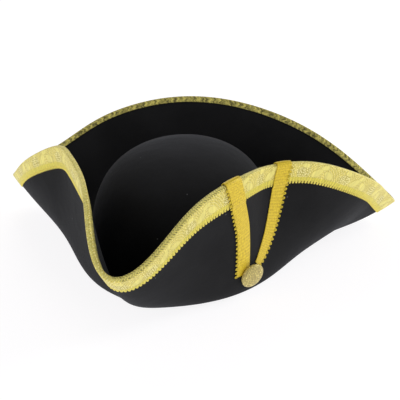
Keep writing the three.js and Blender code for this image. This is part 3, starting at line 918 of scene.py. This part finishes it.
def lace_rows(shape, u):
    """The lace's face from its hem up the outer side, over the edge and down the inner side: points, and their
    distances from the hem and from the fold."""
    stands, felt = shape.lace_stands, shape.felt
    edge = u[:-1]
    out, inside = shape.outside_at(edge), shape.inside_at(edge)
    # how far the fold reaches through the felt and beyond it: flattened, as lace pressed over a cut edge is
    through = felt / 2 + stands
    beyond, flat = LACE_FOLD
    turns = np.radians(np.linspace(-90, 90, 11))
    arc = [(math.copysign(abs(math.sin(a)) ** flat, a) * through, abs(math.cos(a)) ** flat * beyond) for a in turns]
    walk = np.concatenate([[0], np.cumsum([math.dist(a, b) for a, b in zip(arc, arc[1:])])])
    half = walk[-1] / 2
    rows, from_fold = [], []
    shares = np.linspace(0, 1, 17)
    cu, ct = shape.down(edge, [share * out for share in shares])
    along = np.arange(len(edge)) / len(edge)
    deep, waves = HEM_WAVE
    for k in range(len(shares) - 1, -1, -1):
        a, t, d = cu[:, k], ct[:, k], shares[k] * out
        # the hem lies a little closer to the felt, and waves between its stitches
        hem = ease(shares[k], 0.78, 1.0)
        wave = deep * np.sin(2 * math.pi * waves * along) * hem
        rows.append(shape.brim(a, t) - shape.inward(a, t) * (stands - deep * hem + wave)[:, None])
        from_fold.append(-d - half)
    n, lift = shape.inward(edge, np.ones_like(edge)), shape.lift(edge)
    middle = shape.brim(edge, 1.0) + n * felt / 2
    for (x, y), walked in list(zip(arc, walk))[1:-1]:
        rows.append(middle + x * n + y * lift)
        from_fold.append(np.full(len(edge), walked - half))
    shares = np.linspace(0, 1, 8)
    cu, ct = shape.down(edge, [share * inside for share in shares])
    for k, share in enumerate(shares):
        a, t = cu[:, k], ct[:, k]
        rows.append(shape.brim(a, t) + shape.inward(a, t) * (felt + stands))
        from_fold.append(half + share * inside)
    points, from_fold = np.stack(rows, 1) + shape.middle, np.stack(from_fold, 1)
    points, from_fold = (np.concatenate([grid, grid[:1]]) for grid in (points, from_fold))
    return points, from_fold - from_fold[:, :1], from_fold


def own_map(piece, name, grid):
    """A map of the piece's cloth whose value in column i and row j is grid[i, j], taken from its first map."""
    first = piece.data.uv_layers["UVMap"]
    flat = np.empty(len(first.data) * 2)
    first.data.foreach_get("uv", flat)
    columns, rows = np.array(grid.shape[:2]) - 1
    i = np.rint(flat[0::2] * columns).astype(int)
    j = np.rint(flat[1::2] * rows).astype(int)
    piece.data.uv_layers.new(name=name).data.foreach_set("uv", grid[i, j].ravel())


class HAT_OT_edge_lace(bpy.types.Operator):
    """Folds one length of lace over the brim's whole edge"""

    bl_idname = "hat.edge_lace"
    bl_label = "Edge lace"

    def execute(self, context):
        shape = HatShape(context.scene.hat_sizes)
        columns = 900
        u, length = shape.stations(columns)
        points, from_hem, from_fold = lace_rows(shape, u)
        lace = laid_grid("edge_lace", columns, points.shape[1] - 1, points, closed=True)
        lace.data.uv_layers[0].name = "UVMap"
        # where the darker twill begins, in millimetres from the fold: before it at the front, a little past it at the
        # back, and nowhere on the wearer's right flap. Its reach is partly painted shade: the dark twill stands for the
        # shade where the fold turns from the light at the front, and is left off the wearer's right flap, whose inner
        # side is lit
        front_left, front_right, nowhere, back = -3.6, -3.2, 8.0, 1.0
        section = np.minimum(u, shape.rows - u)
        left_start = front_left + (back - front_left) * ease(section, 2.6, 3.6)
        right_start = front_right + (nowhere - front_right) * ease(section, 0.3, 1.0)
        right_start += (back - nowhere) * ease(section, 7.6, 8.2)
        start = np.where(u < shape.rows / 2, left_start, right_start)
        start = np.broadcast_to(start[:, None], from_hem.shape)
        along = np.broadcast_to(np.linspace(0, 1, columns + 1)[:, None], from_hem.shape)
        own_map(lace, "FromHem", np.stack([along, from_hem / FULL_LACE], -1))
        own_map(lace, "FromFold", np.stack([start / FULL_LACE + 0.5, from_fold / FULL_LACE + 0.5], -1))
        thicken(lace, shape.lace * MM, -1)
        finish_piece(lace, "edge_trim", gold_lace(context.scene.hat_colours, length), 60)
        return {"FINISHED"}


class HAT_OT_edge_picots(bpy.types.Operator):
    """Sets the small thread loops along the lace's hem"""

    bl_idname = "hat.edge_picots"
    bl_label = "Lace picots"

    def execute(self, context):
        shape = HatShape(context.scene.hat_sizes)
        u, _ = shape.stations(2400)
        across, thread, past = LACE_PICOT
        cu, ct = shape.down(u[:-1], [shape.outside_at(u[:-1]) + past])
        line = shape.brim(cu[:, 0], ct[:, 0])
        line = np.concatenate([line, line[:1]])
        length = np.concatenate([[0], np.cumsum(np.linalg.norm(np.diff(line, axis=0), axis=1))])
        count = int(round(length[-1] / shape.picot_pitch))
        at = (np.arange(count) + 0.5) / count * length[-1]
        k = np.interp(at, length, np.arange(len(length)))
        a = np.interp(k, np.arange(len(cu) + 1), np.append(cu[:, 0], cu[0, 0] + shape.rows))
        t = np.interp(k, np.arange(len(cu) + 1), np.append(ct[:, 0], ct[0, 0]))
        facing = -shape.inward(a, t)
        along = unit(shape.rim_way(a, t))
        away = unit(np.cross(facing, along))
        away *= -np.sign(dot(away, shape.edge_way(a, t)))[:, None]
        centres = shape.brim(a, t) + facing * LACE_PICOT_STANDS + shape.middle
        loops = thread_loops("edge_picots", centres, along, away, facing, across * MM, thread * MM)
        shade = context.scene.hat_colours.picot
        finish_piece(loops, None, picot_thread("picot_thread", [c * 0.8 for c in shade], shade))
        return {"FINISHED"}


def leg_line(table):
    """A smooth line through a leg's table: place in the sections, share of the way up, and width, from 0 to 1."""
    points = [np.array((a, t * 4, w), float) for a, t, w in table]
    points = [2 * points[0] - points[1], *points, 2 * points[-1] - points[-2]]

    def at(f):
        p = (len(table) - 1) * f
        i = int(min(max(math.floor(p), 0), len(table) - 2))
        w = p - i
        p0, p1, p2, p3 = points[i : i + 4]
        d0, d1, d2 = (max(float(np.linalg.norm(b - a)) ** 0.5, 1e-4) for a, b in ((p0, p1), (p1, p2), (p2, p3)))
        m1 = ((p1 - p0) / d0 - (p2 - p0) / (d0 + d1) + (p2 - p1) / d1) * d1
        m2 = ((p2 - p1) / d1 - (p3 - p1) / (d1 + d2) + (p3 - p2) / d2) * d1
        v = p1 + m1 * w + (3 * (p2 - p1) - 2 * m1 - m2) * w**2 + (2 * (p1 - p2) + m1 + m2) * w**3
        return v[0], min(v[1] / 4, 1.0), v[2]

    return at


def moved(shape, u, t, step):
    """The cell that a step along the felt leads to."""
    a, b = shape.rim_way(u, t), shape.edge_way(u, t)
    aa, ab, bb, way_a, way_b = dot(a, a), dot(a, b), dot(b, b), dot(a, step), dot(b, step)
    det = aa * bb - ab * ab
    return u + (way_a * bb - way_b * ab) / det, min(t + (way_b * aa - way_a * ab) / det, 1.0)


def ribbon_leg(context, name, node, table, picot_side, thread_cloth):
    """One leg of the loop: from its foot up the flap, over the lace and down the inner side. picot_side is 1 or -1."""
    shape = HatShape(context.scene.hat_sizes)
    shape.lace_cells()
    line = leg_line(table)
    rest = 0.2  # clear of what it lies on
    over = shape.lace_stands + rest
    spread = np.linspace(-0.5, 0.5, 15)
    rows = []

    def across_at(f):
        u, t, share = line(f)
        u2, t2, _ = line(f + 0.02)
        u, t = np.float64(u), np.float64(t)
        heading = unit(shape.brim(u, t) - shape.brim(u2, t2))
        side = unit(np.cross(heading, shape.inward(u, t)))
        rim = unit(shape.rim_way(u, t))
        rim = rim * np.sign(dot(rim, side))
        blend = ease(t, 0.75, 0.96)
        step = side * (1 - blend) + rim * blend
        return u, t, step * share * shape.ribbon_width / max(dot(step, side), 0.5)

    def height(u, depth):
        lace = shape.outside_at(np.array([u]))[0]
        return rest + (over - rest) * (1 - ease(depth, lace + 0.6, lace + 5))

    foot_rows = 110
    for i in range(foot_rows, 0, -1):
        f = 0.98 * i / foot_rows
        u, t, step = across_at(f)
        row = []
        for s in spread:
            cu, ct = moved(shape, u, t, step * s)
            cu, ct = np.float64(cu), np.float64(ct)
            out = -shape.inward(cu, ct)
            # a little crown across the ribbon, and its edges turned down
            crown = RIBBON_CROWN * (1 - (2 * s) ** 2)
            row.append(shape.brim(cu, ct) + out * (height(cu, shape.depth(cu, ct)) + crown + shape.ribbon))
        rows.append(row)
    u, _, step = across_at(0)
    rim = shape.rim_way(u, np.float64(1))
    wide = dot(step, rim) / dot(rim, rim)
    places = np.array([u + s * wide for s in spread])
    ones = np.ones_like(places)
    n, lift = shape.inward(places, ones), shape.lift(places)
    middle = shape.brim(places, ones) + n * shape.felt / 2
    reach = shape.felt / 2 + over + shape.ribbon
    crown = RIBBON_CROWN * (1 - (2 * spread[:, None]) ** 2)
    for angle in np.radians(np.linspace(-90, 90, 15)):
        rows.append(list(middle + (reach + crown) * (math.sin(angle) * n + math.cos(angle) * lift)))
    depths = np.linspace(0, shape.ribbon_inside, 11)[1:]
    cu, ct = shape.down(places, depths)
    for k, d in enumerate(depths):
        a, t = cu[:, k], ct[:, k]
        lie = rest + (over - rest) * (1 - ease(d, shape.lace_in + 0.6, shape.lace_in + 3.5))
        rows.append(list(shape.brim(a, t) + shape.inward(a, t) * (shape.felt + lie + shape.ribbon + crown)))
    points = np.array(rows) + shape.middle
    # the face looks outwards, as one cell of the flap's part tells
    row, mid = 40, len(spread) // 2
    lengthwise, sidewise = points[row, mid] - points[row - 1, mid], points[row, mid + 1] - points[row, mid]
    if dot(np.cross(lengthwise, sidewise), shape.inward(*map(np.float64, line(0.4)[:2]))) > 0:
        points = points[:, ::-1]
        picot_side = -picot_side
    length = float(np.sum(np.linalg.norm(np.diff(points[:, mid], axis=0), axis=1)))
    leg = laid_grid(name, len(points) - 1, len(spread) - 1, points)
    leg.data.uv_layers[0].name = "UVMap"
    thicken(leg, shape.ribbon * MM, -1)
    edge = leg.modifiers.new("edge", "BEVEL")
    edge.width, edge.segments, edge.limit_method = 0.2 * MM, 2, "ANGLE"
    bpy.ops.object.modifier_apply(modifier="edge")
    finish_piece(leg, node, ribbed_ribbon(context.scene.hat_colours, length, shape.ribbon_width), 50)
    print(name, "length", round(length, 1), "mm")
    # picots along the side away from the other leg
    side = points[: foot_rows + 4, -1 if picot_side > 0 else 0]
    inside = points[: foot_rows + 4, -2 if picot_side > 0 else 1]
    run = np.concatenate([[0], np.cumsum(np.linalg.norm(np.diff(side, axis=0), axis=1))])
    ends = 1.2
    at = np.arange(ends, run[-1] - ends, RIBBON_PICOT_STEP)
    centres, inner, ahead = (
        np.stack([np.interp(places, run, edge_line[:, k]) for k in range(3)], -1)
        for places, edge_line in ((at, side), (at, inside), (at + 0.5, side))
    )
    along = unit(ahead - centres)
    away = unit(centres - inner)
    away = unit(away - along * dot(away, along)[:, None])
    facing = np.cross(along, away)
    facing *= np.sign(dot(facing, centres - np.array([0, 0, 30.0])))[:, None]
    across, thread, past = RIBBON_PICOT
    loops = thread_loops(name + "_picots", centres + away * past, along, away, facing, across * MM, thread * MM)
    finish_piece(loops, None, thread_cloth)


class HAT_OT_ribbon_loop(bpy.types.Operator):
    """Lays the ribbon's two legs over the lace on the wearer's left flap"""

    bl_idname = "hat.ribbon_loop"
    bl_label = "Ribbon loop"

    def execute(self, context):
        shade = context.scene.hat_colours.ribbon
        thread = picot_thread("ribbon_thread", [c * 0.6 for c in shade], shade)
        ribbon_leg(context, "ribbon_front", "loop_ribbon_front", FRONT_LEG, 1, thread)
        ribbon_leg(context, "ribbon_rear", "loop_ribbon_rear", REAR_LEG, -1, thread)
        return {"FINISHED"}


class HAT_OT_button(bpy.types.Operator):
    """Covers a domed button and sets it on the ribbon's foot"""

    bl_idname = "hat.button"
    bl_label = "Covered button"

    def execute(self, context):
        shape = HatShape(context.scene.hat_sizes)
        section, along = map(np.float64, BUTTON_PLACE)
        out = -shape.inward(section, along)
        rim = unit(shape.rim_way(section, along))
        out = unit(out + rim * BUTTON_LEAN[0] + np.cross(rim, out) * BUTTON_LEAN[1])
        solid = np.array([v.co[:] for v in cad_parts["button"].data.vertices])
        middle = solid.mean(axis=0)
        seat = middle + out * (np.min((solid - middle) @ out))
        radius, height = shape.button_across / 2 * MM, shape.button_height * MM
        # shares of the radius and of the height, from the turned-under cloth at the back to the dome's top
        profile = (
            *((0.82, 0.0), (0.9, 0.02), (0.97, 0.1), (1.0, 0.24), (0.995, 0.4), (0.95, 0.55)),
            *((0.86, 0.7), (0.72, 0.83), (0.52, 0.93), (0.28, 0.985), (0.1, 1.0)),
        )
        free()
        bpy.ops.mesh.primitive_circle_add(vertices=64, radius=radius * profile[0][0], fill_type="NGON")
        button = bpy.context.object
        button.name = button.data.name = "covered_button"
        bpy.ops.object.mode_set(mode="EDIT")
        bpy.ops.mesh.select_mode(type="FACE")
        bpy.ops.mesh.select_all(action="SELECT")
        for (wide, low), (next_wide, high) in zip(profile, profile[1:]):
            bpy.ops.mesh.extrude_region_move(TRANSFORM_OT_translate={"value": (0, 0, (high - low) * height)})
            grow = next_wide / wide
            bpy.ops.transform.resize(value=(grow, grow, 1))
        bpy.ops.mesh.select_all(action="SELECT")
        bpy.ops.mesh.normals_make_consistent(inside=False)
        bpy.ops.object.mode_set(mode="OBJECT")
        turn = Vector((0, 0, 1)).rotation_difference(Vector(out)).to_matrix().to_4x4()
        button.data.transform(Matrix.Translation(Vector(seat)) @ turn)
        button.data.update()
        smooth = button.modifiers.new("smooth", "SUBSURF")
        smooth.levels = smooth.render_levels = 1
        bpy.ops.object.modifier_apply(modifier="smooth")
        finish_piece(button, "button", crackled_cloth(context.scene.hat_colours), 60)
        return {"FINISHED"}


class HAT_OT_stage(bpy.types.Operator):
    """Lays a pale floor, hangs soft lights and sets the camera"""

    bl_idname = "hat.stage"
    bl_label = "Floor, lights and camera"

    def execute(self, context):
        view = context.scene.hat_view
        shape = HatShape(context.scene.hat_sizes)
        free()
        bpy.ops.mesh.primitive_plane_add(size=14, location=(0, 0, 0))
        floor = bpy.context.object
        floor.name = "floor"
        # a sheet of white acrylic lit from below, as for a catalogue: it leaves hardly any shadow
        material, _, shader = new_material("pale_floor", colour("#f4f4f4"))
        shader.inputs["Base Color"].default_value = rgba(colour("#8a8a8c"))
        shader.inputs["Roughness"].default_value = 0.9
        shader.inputs["Specular IOR Level"].default_value = 0.0
        shader.inputs["Emission Color"].default_value = rgba(colour("#fffeff"))
        shader.inputs["Emission Strength"].default_value = 0.87
        floor.data.materials.append(material)
        lamps = (
            # name, place and size in metres, power in watts
            ("window_left", (-1.4, -1.7, 0.8), 1.3, 7),
            ("window_right", (1.1, -2.0, 0.7), 1.2, 4),
            ("side_right", (1.8, 0.9, 1.1), 1.0, 18),
            ("behind", (-0.5, 1.3, 1.7), 1.0, 8),
        )
        for name, place, size, power in lamps:
            free()
            bpy.ops.object.light_add(type="AREA", location=place)
            lamp = bpy.context.object
            lamp.name = name
            lamp.data.shape, lamp.data.size, lamp.data.energy = "DISK", size, power
            aim = Vector((0, 0, 0.05)) - Vector(place)
            lamp.rotation_euler = aim.to_track_quat("-Z", "Y").to_euler()
        # pale walls all round and a dim ceiling
        world = bpy.data.worlds.new("white_room")
        context.scene.world = world
        world.use_nodes = True
        sky = world.node_tree
        way = add(sky, "ShaderNodeTexCoord")
        height = add(sky, "ShaderNodeSeparateXYZ", inputs={0: way.outputs["Generated"]})
        light = add(
            sky,
            "ShaderNodeMapRange",
            {"interpolation_type": "SMOOTHSTEP"},
            {"Value": height.outputs["Z"], "From Min": 0.1, "From Max": 0.75, "To Min": 1.0, "To Max": 0.18},
        )
        back = sky.nodes["Background"]
        back.inputs["Color"].default_value = rgba(colour("#fbfbff"))
        sky.links.new(light.outputs[0], back.inputs["Strength"])
        a, e = view.azimuth, view.elevation
        back_way = Vector((math.sin(a) * math.cos(e), -math.cos(a) * math.cos(e), math.sin(e)))
        right = Vector((math.cos(a), math.sin(a), 0))
        up = back_way.cross(right)
        place = Vector(shape.middle * MM) + right * view.rightward + up * view.upward + back_way * view.distance
        free()
        bpy.ops.object.camera_add(location=place)
        camera = bpy.context.object
        camera.name = "photo_view"
        turn = Matrix((right, up, back_way)).transposed().to_4x4()
        camera.matrix_world = Matrix.Translation(place) @ turn @ Matrix.Rotation(-view.roll, 4, "Z")
        camera.data.sensor_width, camera.data.lens = 36, view.focal
        camera.data.clip_start, camera.data.clip_end = 0.01, 50
        context.scene.camera = camera
        context.scene.view_settings.view_transform = "Standard"
        return {"FINISHED"}


class HAT_PT_panel(bpy.types.Panel):
    """Lists the hat's pieces"""

    bl_label = "Hat"
    bl_idname = "HAT_PT_panel"
    bl_space_type = "VIEW_3D"
    bl_region_type = "UI"
    bl_category = "Hat"

    def draw(self, context):
        layout = self.layout
        for step in STEPS:
            layout.operator(step.bl_idname)
        for group in (context.scene.hat_sizes, context.scene.hat_colours, context.scene.hat_view):
            box = layout.box()
            for name in group.bl_rna.properties.keys():
                if name not in ("rna_type", "name"):
                    box.prop(group, name)


STEPS = (HAT_OT_stage, HAT_OT_felt_body, HAT_OT_edge_lace, HAT_OT_edge_picots, HAT_OT_ribbon_loop, HAT_OT_button)
CLASSES = (HatSizes, HatColours, HatScene, *STEPS, HAT_PT_panel)


def register():
    for item in CLASSES:
        bpy.utils.register_class(item)
    bpy.types.Scene.hat_sizes = PointerProperty(type=HatSizes)
    bpy.types.Scene.hat_colours = PointerProperty(type=HatColours)
    bpy.types.Scene.hat_view = PointerProperty(type=HatScene)


def unregister():
    for name in ("hat_sizes", "hat_colours", "hat_view"):
        delattr(bpy.types.Scene, name)
    for item in reversed(CLASSES):
        bpy.utils.unregister_class(item)


def main():
    register()
    bpy.ops.hat.stage()
    bpy.ops.hat.felt_body()
    bpy.ops.hat.edge_lace()
    bpy.ops.hat.edge_picots()
    bpy.ops.hat.ribbon_loop()
    bpy.ops.hat.button()


if __name__ == "__main__":
    main()
